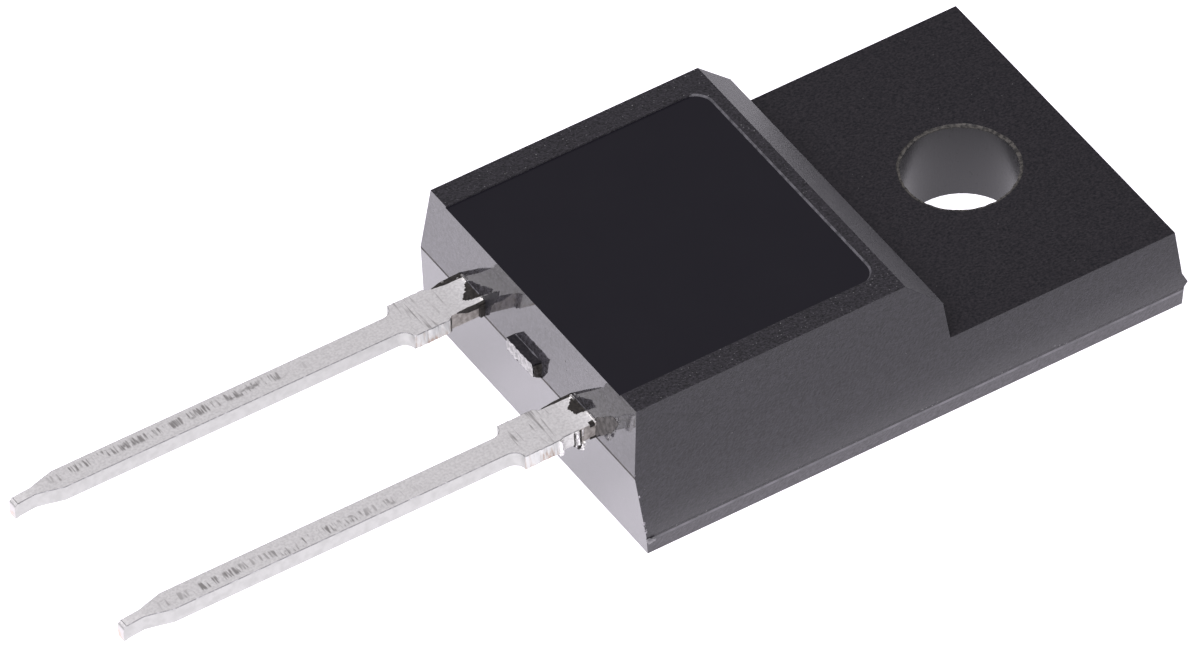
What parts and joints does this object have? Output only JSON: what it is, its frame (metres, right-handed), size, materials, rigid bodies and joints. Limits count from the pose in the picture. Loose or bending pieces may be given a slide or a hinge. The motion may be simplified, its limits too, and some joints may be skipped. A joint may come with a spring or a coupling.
{
  "type": "schottky diode",
  "caption": "Power schottky diode in a fully moulded screw-mount package: stepped black epoxy case with a tab and screw hole, and two flat tin-plated leads.",
  "frame": {"origin": "centre of the screw hole on the back (heatsink) face", "axes": "+X along the package away from the leads, +Y across it towards the cathode lead, +Z from the back face to the marked face"},
  "size_m": [0.029, 0.0102, 0.0045],
  "materials": {
    "epoxy": "black mould compound, fine matt spark-eroded texture, polished lead end",
    "tin_plate": "matt tin plate over copper, with fine press marks across the leads",
    "solder": "dull lead-rich solder",
    "silicon": "polished silicon",
    "bond_wire": "bright drawn aluminium wire"
  },
  "bodies": {
    "root": {"moulded_body": "epoxy", "cathode_leadframe": "tin_plate", "anode_lead": "tin_plate", "die_solder": "solder", "schottky_die": "silicon", "bond_wire_1": "bond_wire", "bond_wire_2": "bond_wire", "bond_wire_3": "bond_wire"}
  },
  "joints": []
}
